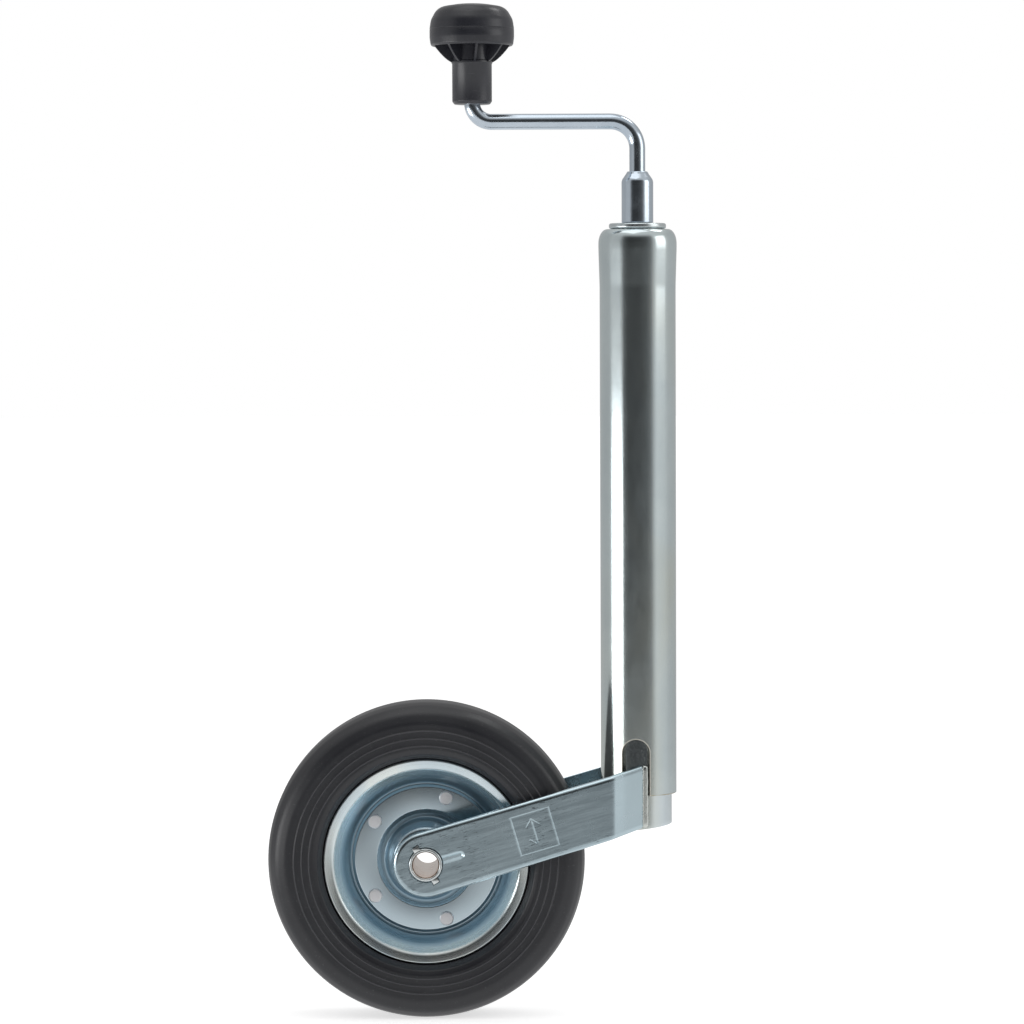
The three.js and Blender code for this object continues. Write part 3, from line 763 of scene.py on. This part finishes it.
def knob():
    """A hollow head over a stem, with ribs under the head and a fine parting line round it."""
    low, top = heights_of("knob")
    radius = radius_of("knob") / MM
    outline = rounded([
        (0.01, top), (9, top - 0.15, 30), (21.5, top - 2.2, 9), (radius - 0.8, top - 10, 9),
        (radius, top - 15.6, 0), (radius - 0.22, top - 15.9, 0), (radius, top - 16.2, 0),
        (radius, top - 21, 8), (radius - 0.6, top - 25.6, 2.2), (radius - 2.0, top - 26.8, 1.2),
        (radius - 2.9, top - 25.2, 0.6), (radius - 3.2, top - 14, 8), (18.5, top - 5.6, 4),
        (KNOB_STEM, top - 4.6, 1.5), (KNOB_STEM, top - 35.4, 0), (KNOB_STEM + 0.45, top - 35.9, 0.3),
        (KNOB_STEM + 0.45, top - 37.0, 0.3), (KNOB_STEM, top - 37.6, 0), (KNOB_STEM, low + 1.8, 1.4),
        (KNOB_STEM - 1.3, low, 0.9), (KNOB_BORE, low, 0.4), (KNOB_BORE, top - 7, 0),
        (0.01, top - 7),
    ], closed=False, steps=8)
    axis = Vector((KNOB_AXIS.x, 0, 0))
    shell = spin("knob_fine", outline, axis, segments=128, closed=False)
    tool = bmesh.new()
    tool.from_mesh(shell.data)
    for k in range(KNOB_RIBS):
        add_knob_rib(tool, axis, FULL_TURN * k / KNOB_RIBS + RIB_TURN, top, radius)
    bmesh.ops.remove_doubles(tool, verts=tool.verts, dist=2e-5)
    bmesh.ops.recalc_face_normals(tool, faces=tool.faces)
    tool.to_mesh(shell.data)
    tool.free()
    smooth(shell.data, 40)
    stands_for(shell, "knob")


def add_knob_rib(tool, axis, angle, top, radius):
    """A thin web under the head, from the stem out to the rim."""
    half = 0.75
    steps = 10
    inner = KNOB_STEM - 0.8
    outer = radius - 2.9
    rows = []
    for k in range(steps + 1):
        share = k / steps
        out = inner + (outer - inner) * share
        foot = top - 37 + 10.6 * share ** 1.5
        head = top - 4.4 - 9 * max(0, share - 0.55)
        spoke = Vector((math.cos(angle), math.sin(angle), 0))
        side = Vector((-spoke.y, spoke.x, 0))
        row = []
        for z in (foot, head):
            for across in (-half, half):
                spot = axis + (spoke * out + side * across + Vector((0, 0, z))) * MM
                row.append(tool.verts.new(spot))
        rows.append(row)
    for a, b in zip(rows, rows[1:]):
        for i, j in ((0, 1), (1, 3), (3, 2), (2, 0)):
            tool.faces.new((a[i], a[j], b[j], b[i]))
    tool.faces.new((rows[0][0], rows[0][1], rows[0][3], rows[0][2]))
    tool.faces.new((rows[-1][0], rows[-1][1], rows[-1][3], rows[-1][2]))


# --- inner tube
INNER_WALL = 2.2
END_LEAN = math.tan(math.radians(6))


def inner_tube():
    """The lower end leans, so every point there takes its height from its place along X."""
    low, high = foot_of("inner_tube"), top_of("inner_tube")
    radius = radius_of("inner_tube") / MM
    middle = low + radius * MM * END_LEAN
    length = high - middle
    outline = rounded([
        (radius - INNER_WALL, 0, 0.3), (radius, 0, 0.4), (radius, 3), (radius, 60),
        (radius, length / MM, 0.5), (radius - INNER_WALL, length / MM, 0.3),
    ], steps=3)
    tube = spin("inner_tube_fine", outline, Vector((0, 0, middle)), segments=160)
    for vertex in tube.data.vertices:
        share = 1 - (vertex.co.z - middle) / length
        vertex.co.z += vertex.co.x * END_LEAN * share
    smooth(tube.data, 40)
    stands_for(weigh(tube), "inner_tube", PALE_TUBE)


# --- fork arms
ARM_END_RADIUS = 20.6
PLATE = 3.3
BENDS = ((-19.3, -16.1, 0.51), (-12.2, -9.0, 0.45))  # where each bend starts and ends, slope after it
AXLE_HOLE = 11.2
KEY_ANGLES = (math.radians(121), math.radians(301))
KEY_GAP = 0.4
NOTCH_END = 13.7  # from the axle's middle
NOTCH_HALF_WIDTH = 2.5
EDGE_ROUND = 2.7  # the rolled outer edge of the plate
GROOVE_START, GROOVE_END = 9.0, 25.4  # the pressed groove beside the axle, along the arm
GROOVE_HALF_WIDTH = 3.0
GROOVE_DEPTH = 1.4
STAMP_PLACE = (68.5, 20.6)  # from the axle
STAMP_HALF_WIDTH = 0.75
STAMP_DEPTH = 0.33


def arm_outline(inset=0):
    """The arm's side view, flat and drawn in by the inset, as (x, z) in mm from the axle."""
    radius = ARM_END_RADIUS - inset
    tip = (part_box("fork_arm_near")[1].x - AXLE.x) / MM
    top = tip * math.tan(ARM_TOP_SLOPE) + radius / math.cos(ARM_TOP_SLOPE)
    bottom = tip * math.tan(ARM_BOTTOM_SLOPE) - radius / math.cos(ARM_BOTTOM_SLOPE)
    round_end = arc((0, 0), radius, math.pi / 2 + ARM_TOP_SLOPE,
                    1.5 * math.pi + ARM_BOTTOM_SLOPE, 40)
    return round_end + [(tip, bottom), (tip, top)]


def flat_arm(name, side):
    """The arm before bending: layers of its outline, drawn in to roll the outer edge."""
    layers = [(0.25, ARM_OUTER - PLATE), (0, ARM_OUTER - PLATE + 0.25)]
    layers += [(EDGE_ROUND - x, ARM_OUTER - EDGE_ROUND + y)
               for x, y in arc((0, 0), EDGE_ROUND, 0, math.pi / 2, 6)]
    layers.append((EDGE_ROUND + 0.5, ARM_OUTER))
    return loft(name, [
        [Vector((AXLE.x + x * MM, side * y * MM, AXLE.z + z * MM)) for x, z in arm_outline(inset)]
        for inset, y in layers
    ])


def turned(point, angle):
    """A side-view point turned about zero."""
    x, z = point
    return (x * math.cos(angle) - z * math.sin(angle), x * math.sin(angle) + z * math.cos(angle))


def bar(start, end, half):
    """A rectangle along X, as (x, z) points."""
    return [(start, -half), (end, -half), (end, half), (start, half)]


def block_at(angle, points, low_y, high_y, name):
    """A block whose outline is turned about the axle."""
    outline = []
    for point in points:
        x, z = turned(point, angle)
        outline.append((AXLE.x + x * MM, AXLE.z + z * MM))
    return prism(name, outline, low_y * MM, high_y * MM)


def stamp_lines():
    """The stamped mark, a plain square frame round an up-and-down arrow, as lines in mm."""
    half = 12.4
    tip = 8.2
    barb = 4.0
    corners = [(-half, -half), (half, -half), (half, half), (-half, half)]
    lines = [(corners[i - 1], corners[i]) for i in range(4)]
    lines.append(((0, -tip), (0, tip)))
    for end in (-1, 1):
        for way in (-1, 1):
            lines.append(((way * barb, end * (tip - barb)), (0, end * tip)))
    return lines


def stroke(a, b, pen):
    """A thin box round the line from a to b, as (x, z) points."""
    a, b = Vector(a), Vector(b)
    along = (b - a).normalized() * pen
    across = Vector((-along.y, along.x))
    return [a - along - across, b + along - across, b + along + across, a - along + across]


def sunk(name, centre, rim, bed, side, depth):
    """A cutter with sloped walls for a mark pressed along the arm: rim is its outline at the
    plate's face, bed its floor."""
    points, faces = [], []
    for outline, y in ((rim, ARM_OUTER + 1), (rim, ARM_OUTER), (bed, ARM_OUTER - depth)):
        for x, z in outline:
            across, up = turned((x, z), ARM_TOP_SLOPE)
            points.append((AXLE.x + (centre[0] + across) * MM, side * y * MM,
                           AXLE.z + (centre[1] + up) * MM))
    count = len(rim)
    for layer in (0, count):
        for i in range(count):
            j = (i + 1) % count
            faces.append((layer + i, layer + j, layer + count + j, layer + count + i))
    faces.append(tuple(range(count)))
    faces.append(tuple(range(3 * count - 1, 2 * count - 1, -1)))
    return new_object(name, mesh_from(name, points, faces))


def slot_outline(start, end, half):
    """A long slot with a round far end, as (x, z) points along the arm."""
    return [(start, -half)] + arc((end - half, 0), half, -math.pi / 2, math.pi / 2, 12) + [(start, half)]


def lean_at(x):
    """How far the plate has leaned in at x, and its slope there: each bend turns it steadily."""
    drop, slope = 0.0, 0.0
    for start, end, after in BENDS:
        length = end - start
        run = min(max(x - start, 0), length)
        gain = (after - slope) / length
        drop += gain * run * run / 2 + (after - slope) * max(x - end, 0)
        slope += gain * run
    return drop, slope


def bend_plate(mesh, side):
    """Bends the flat arm in towards the tube. side is -1 near, 1 far."""
    flat = ARM_OUTER - PLATE / 2
    for vertex in mesh.vertices:
        x = vertex.co.x / MM
        depth = side * vertex.co.y / MM - flat
        drop, slope = lean_at(x)
        size = math.hypot(1, slope)
        vertex.co.x = (x + depth * slope / size) * MM
        vertex.co.y = side * (flat - drop + depth / size) * MM


def fork_arm(node, side, stamped):
    """A flat arm with the axle's keyed hole and the pressed marks, then bent."""
    arm = flat_arm(node + "_fine", side)
    reach = (ARM_OUTER + 3) * side
    inside = (ARM_OUTER - PLATE - 3) * side
    through = sorted((reach, inside))
    tools = [block_at(0, circle(AXLE_HOLE, 64), *through, "hole_tool")]
    for angle in KEY_ANGLES:
        tools.append(block_at(angle, bar(8, NOTCH_END, NOTCH_HALF_WIDTH), *through, "notch_tool"))
    tools.append(sunk("groove_tool", (0, 0), slot_outline(GROOVE_START, GROOVE_END, GROOVE_HALF_WIDTH),
                      slot_outline(GROOVE_START, GROOVE_END - 2, 0.9), side, GROOVE_DEPTH))
    if stamped:
        for start, end in stamp_lines():
            tools.append(sunk("stamp_tool", STAMP_PLACE, stroke(start, end, STAMP_HALF_WIDTH),
                              stroke(start, end, 0.06), side, STAMP_DEPTH))
    carve(arm, tools)

    tool = bmesh.new()
    tool.from_mesh(arm.data)
    cuts = 12
    for start, end, _ in BENDS:
        for k in range(cuts + 1):
            x = (start + (end - start) * k / cuts) * MM
            geometry = tool.verts[:] + tool.edges[:] + tool.faces[:]
            bmesh.ops.bisect_plane(
                tool, geom=geometry, plane_co=(x, 0, 0), plane_no=(1, 0, 0), dist=1e-7)
    tool.to_mesh(arm.data)
    tool.free()
    bend_plate(arm.data, side)
    smooth(arm.data, 24)
    stands_for(weigh(arm), node, ARM_METAL)


# --- weld seams
SQUARENESS = 0.45  # 0 is a round bead, 1 a square one


def weld_bead(node):
    """A laid bead down the end of the arm, its width wandering a little."""
    low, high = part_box(node)
    rows = 60
    centre = (low + high) / 2
    half = (high - low) / 2
    rings = []
    for i in range(rows + 1):
        share = i / rows
        close = min(1, math.sqrt(max(0.0, 1 - (2 * abs(share - 0.5)) ** 24)))
        wander = 1 + 0.05 * math.sin(share * 19) + 0.03 * math.sin(share * 43 + 1.3)
        ring = []
        for x, y in circle(1, 24):
            square = 0.97 * close / max(abs(x), abs(y)) ** SQUARENESS
            ring.append(Vector((centre.x + half.x * x * square * (wander if x > 0 else 1),
                                centre.y + half.y * y * square, low.z + (high.z - low.z) * share)))
        rings.append(ring)
    stands_for(loft(node + "_fine", rings, 60), node, WELD_METAL)


# --- axle, hub and rim
AXLE_OUTER = 10.4


def axle_tube():
    """A tube with rolled ends, and two keys at each end that lock it in the arms."""
    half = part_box("axle_tube")[1].y / MM
    outline = rounded([
        (AXLE_BORE, -half + 1.2, 1.6), (AXLE_BORE + 0.9, -half, 0.5), (AXLE_OUTER, -half, 0.8),
        (AXLE_OUTER, half, 0.8), (AXLE_BORE + 0.9, half, 0.5), (AXLE_BORE, half - 1.2, 1.6),
    ])
    tube = spin("axle_tube_fine", outline, AXLE, "Y", 96)
    tool = bmesh.new()
    tool.from_mesh(tube.data)
    for angle in KEY_ANGLES:
        for side in (-1, 1):
            low, high = sorted((side * (ARM_OUTER - PLATE + 0.6), side * (ARM_OUTER + 0.6)))
            key = block_at(angle, bar(AXLE_OUTER - 1, NOTCH_END - KEY_GAP, NOTCH_HALF_WIDTH - KEY_GAP),
                           low, high, "key")
            soften(key, 0.35)
            tool.from_mesh(key.data)
            bpy.data.objects.remove(key)
    tool.to_mesh(tube.data)
    tool.free()
    smooth(tube.data, 38)
    stands_for(tube, "axle_tube", AXLE_METAL)


def turned_about_axle(node, section):
    """A turned piece about the axle; section is (radius, distance from the middle, corner) in mm."""
    stands_for(spin(node + "_fine", rounded(section), AXLE, "Y", 96), node)


def far(section):
    """The same section on the far side of the wheel."""
    return [(radius, -away, corner) for radius, away, corner in section]


def hub_and_spacers():
    """The hub tube, its two flanged bushes and the washers between them and the arms."""
    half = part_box("hub_tube")[1].y / MM
    turned_about_axle("hub_tube", [
        (13.2, -half, 0.3), (15.15, -half, 0.4), (15.15, half, 0.4), (13.2, half, 0.3),
    ])
    outer = -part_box("hub_bush_near")[0].y / MM
    bush = [
        (10.8, outer - 15.9, 0.4), (12.9, outer - 15.9, 0.4), (12.9, outer - 1.6, 0.1),
        (15.1, outer - 1.6, 0.2), (15.1, outer, 0.5), (10.8, outer, 0.4),
    ]
    turned_about_axle("hub_bush_near", bush)
    turned_about_axle("hub_bush_far", far(bush))
    outer = -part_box("side_washer_near")[0].y / MM
    washer = [(10.7, outer - 1.6, 0.3), (15.9, outer - 1.6, 0.3), (15.9, outer, 0.3), (10.7, outer, 0.3)]
    turned_about_axle("side_washer_near", washer)
    turned_about_axle("side_washer_far", far(washer))


SHEET = 1.5
# outer face of a pressed rim half, hub to lip: radius, distance from the middle plane, corner
RIM_FACE = [
    (15.5, 13.9, 0), (20.6, 13.5, 3.0), (24.2, 7.2, 5.0), (26.3, 1.6, 2.0), (28.8, 1.6, 1.2),
    (31.4, 3.0, 1.8), (45.6, 3.0, 1.2), (47.3, 1.5, 1.2), (48.6, 1.5, 3.0), (52.9, 10.4, 8.0),
    (58.9, 18.3, 5.0), (64.4, 19.0, 0.9), (65.2, 17.7, 0),
]


def rim_half(node, side):
    """A pressed half: the face, and the same line again one sheet thickness behind it."""
    face = rounded(RIM_FACE, closed=False, steps=7)
    back = []
    for i, spot in enumerate(face):
        run = (face[min(i + 1, len(face) - 1)] - face[max(i - 1, 0)]).normalized()
        back.append(spot + Vector((run.y, -run.x)) * SHEET)
    outline = [(p.x, side * p.y) for p in face + back[::-1]]
    stands_for(spin(node + "_fine", outline, AXLE, "Y", 192, shade=45), node)


def rivets():
    """Round pressed heads on both faces of the ring; a shank joins them."""
    nodes = sorted(n for n in frame["nodes"] if n.startswith("rim_rivet_"))
    for node in nodes:
        low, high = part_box(node)
        centre = Vector(((low.x + high.x) / 2, 0, (low.z + high.z) / 2))
        crown = high.y / MM + 0.1
        seat = crown - 1.45
        head = [
            (0.01, crown), (3.9, crown, 0.6), (4.45, crown - 0.9, 0.6), (4.5, seat, 0.1), (2.2, seat, 0),
        ]
        foot = [(point[0], -point[1], *point[2:]) for point in head]
        outline = rounded(foot + head[::-1], closed=False)
        stands_for(spin(node + "_fine", outline, centre, "Y", 40, closed=False), node)


# --- tyre
def tyre():
    """Half of the section from the rim to the crown, mirrored; with fine raised rings."""
    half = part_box("tyre")[1].y / MM
    flat = half - 0.5
    outer = TYRE_RADIUS / MM * TYRE_CORNER
    side = [(67.0, 20.6, 1.0), (68.6, 23.3, 2.5), (71.6, flat, 6)]
    for ridge in RIDGE_RADII:
        side += [(ridge - 0.7, flat, 0.2), (ridge - 0.25, half, 0.15), (ridge + 0.25, half, 0.15),
                 (ridge + 0.7, flat, 0.2)]
    side += [(88.5, flat, 9), (94.9, half - 3.0, 8), (98.7, half - 8.5, 9), (outer, half - 15, 22)]
    seat = [
        (54.0, 0, 0), (54.0, 3, 1), (57.6, 9, 2), (62.0, 16.4, 2), (65.5, 16.4, 0.4), (65.8, 19.2, 0.6),
    ]
    one = rounded(seat + side + [(outer, 0, 0)], closed=False, steps=6)
    other = [Vector((p.x, -p.y)) for p in one[1:-1][::-1]]
    piece = spin("tyre_fine", [(p.x, p.y) for p in one + other], AXLE, "Y", 192, shade=28)
    stands_for(piece, "tyre")


# --- the screw inside
LEAD = 4.0
THREAD_RADIUS = 7.95
THREAD_DEPTH = 1.9


def spindle():
    """The screw: a real left-hand trapezoid thread below the collar, plain above it."""
    low, high = heights_of("spindle")
    thread_end = foot_of("thrust_collar") / MM - 8
    around = 40
    step = LEAD / 8
    rows = int((high - low) / step)
    rings = []
    for i in range(rows + 1):
        z = low + (high - low) * i / rows
        ring = []
        for k in range(around):
            angle = FULL_TURN * k / around
            phase = (z / LEAD + k / around) % 1
            tooth = min(1, max(0, (abs(phase - 0.5) - 0.13) / 0.14))
            fade = min(1, max(0, (thread_end - z) / LEAD)) * min(1, (z - low) / LEAD + 0.3)
            out = THREAD_RADIUS - THREAD_DEPTH * tooth * fade
            ring.append(Vector((out * math.cos(angle), out * math.sin(angle), z)) * MM)
        rings.append(ring)
    stands_for(loft("spindle_fine", rings, 30), "spindle")


def bearing_balls():
    for node in sorted(n for n in frame["nodes"] if n.startswith("bearing_ball_")):
        low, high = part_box(node)
        radius = (high.z - low.z) / 2 / MM
        outline = arc((0, 0), radius, -math.pi / 2, math.pi / 2, 20)
        outline[0], outline[-1] = (0.001, -radius), (0.001, radius)
        stands_for(spin(node + "_fine", outline, (low + high) / 2, "Z", 32, closed=False), node)


def keep_cad(nodes):
    """CAD nodes whose shape is right as it stands: a small edge and their own finish."""
    for node in nodes:
        piece = frame["nodes"][node]
        piece.data.materials.clear()
        piece.data.materials.append(MATERIALS[SLOT_OF[node]])
        bevel(piece, 0.2)


outer_tube()
top_washer()
crank_sleeve()
crank_rod()
knob()
inner_tube()
fork_arm("fork_arm_near", -1, True)
fork_arm("fork_arm_far", 1, False)
weld_bead("weld_bead_near")
weld_bead("weld_bead_far")
axle_tube()
hub_and_spacers()
rim_half("rim_near", 1)
rim_half("rim_far", -1)
rivets()
tyre()
spindle()
bearing_balls()
keep_cad([
    "upper_race", "lower_race", "ball_cage", "thrust_collar", "collar_pin", "stop_washer", "stop_pin",
    "knob_snap_ring", "guide_ring", "spindle_nut",
])


# --- studio
CAMERA_DISTANCE = 2.45  # this and the two below in metres
CAMERA_X = -0.0799
CAMERA_HEIGHT = 0.447  # above the ground
CAMERA_DOWN = math.radians(2.966)
CAMERA_ROLL = math.radians(-0.23)
CAMERA_LENS = 136.13
SENSOR_WIDTH = 36


def camera():
    eye = bpy.data.cameras.new("camera")
    eye.lens = CAMERA_LENS
    eye.sensor_width = SENSOR_WIDTH
    eye.clip_start = 0.05
    eye.clip_end = 60
    piece = new_object("camera", eye)
    piece.location = (CAMERA_X, -CAMERA_DISTANCE, GROUND + CAMERA_HEIGHT)
    level = Matrix.Rotation(math.pi / 2 - CAMERA_DOWN, 4, "X")
    roll = Matrix.Rotation(CAMERA_ROLL, 4, "Z")
    piece.rotation_mode = "QUATERNION"
    piece.rotation_quaternion = (level @ roll).to_quaternion()
    bpy.context.scene.camera = piece


def floor():
    """A pale, faintly glowing sheet. The metal mirrors the studio round it instead of the sheet."""
    size = 14.0
    corners = [(x * size, y * size, GROUND) for x, y in ((-1, -1), (1, -1), (1, 1), (-1, 1))]
    mesh = bpy.data.meshes.new("floor")
    mesh.from_pydata(corners, [], [(0, 1, 2, 3)])
    piece = new_object("floor", mesh)
    piece.visible_glossy = False
    n = Nodes("floor")
    n.set(Base_color=n.ramp(n.noise(n.scaled(), 3, 3), [(0.3, 0.84), (0.7, 0.86)]))
    n.set(Roughness=0.85)
    n.set(Emission_color=(1.0, 1.0, 1.0), Emission_strength=0.62)
    mesh.materials.append(n.owner)


def area_light(name, spot, aim, width, height, power):
    """A rectangle of light in metres and watts, at spot and turned towards aim."""
    lamp = bpy.data.lights.new(name, "AREA")
    lamp.shape = "RECTANGLE"
    lamp.size = width
    lamp.size_y = height
    lamp.energy = power
    piece = new_object(name, lamp)
    piece.location = spot
    piece.rotation_mode = "QUATERNION"
    piece.rotation_quaternion = (Vector(aim) - Vector(spot)).to_track_quat("-Z", "Y")


def at(azimuth, distance, height):
    """A spot round the tube. Azimuth 0 is towards the camera, 90 is to the right of it."""
    turn = math.radians(azimuth)
    return (distance * math.sin(turn), -distance * math.cos(turn), GROUND + height)


def lights():
    """A panel on each side, a small bright one behind and a soft one above."""
    area_light("panel_low_left", at(-69, 1.3, 0.15), (0, 0, GROUND + 0.16), 0.90, 0.37, 3.2)
    area_light("panel_right", at(72, 1.6, 0.95), (0, 0, GROUND + 0.95), 1.0, 0.95, 3.2)
    area_light("hot_spot", (0.62, 0.40, GROUND + 1.62), (0, 0, top_of("outer_tube")), 0.40, 0.40, 1.7)
    area_light("top_soft", (-0.3, -0.2, GROUND + 2.3), (-0.06, 0, GROUND), 1.5, 1.5, 5)


# What the metal mirrors, by the direction round the tube: 0 towards the camera, 90 to its right.
STUDIO_RING = (
    (-180, 0.50), (-150, 0.46), (-100, 0.44), (-88, 0.50), (-58, 0.48), (-44, 0.09), (-30, 0.04),
    (5, 0.05), (26, 0.09), (39, 0.18), (48, 0.50), (56, 0.68), (88, 0.60), (105, 0.50), (150, 0.46),
    (180, 0.50),
)
# Above and below that ring: a grey, and the upward parts of the direction it fades in between.
STUDIO_BELOW, BELOW_FADE = 0.78, (-0.127, -0.154)
STUDIO_ABOVE, ABOVE_FADE = 0.62, (0.45, 0.80)


def world():
    """A pale studio with a dark card in front; seen straight on, plain white."""
    n = Nodes("studio", bpy.data.worlds, "Generated")

    def above(fade):
        """A share that grows from 0 to 1 as the direction rises, or falls, through the fade."""
        share = n.remap(n.axis_value("Z"), *fade, 0, 1)
        share.node.interpolation_type = "SMOOTHSTEP"
        return share

    turn = n.math("ARCTAN2", n.axis_value("X"), n.times(n.axis_value("Y"), -1))
    colour = n.ramp(n.remap(turn, -math.pi, math.pi, 0, 1),
                    [((degrees + 180) / 360, grey) for degrees, grey in STUDIO_RING])
    is_seen = n.new("LightPath").outputs["Is Camera Ray"]
    for share, grey in ((above(BELOW_FADE), STUDIO_BELOW), (above(ABOVE_FADE), STUDIO_ABOVE), (is_seen, 1)):
        colour = n.mix(share, colour, (grey, grey, grey))
    n.link(colour, n.tree.nodes["Background"].inputs["Color"])
    bpy.context.scene.world = n.owner


camera()
floor()
lights()
world()
bpy.context.scene.view_settings.view_transform = "Standard"
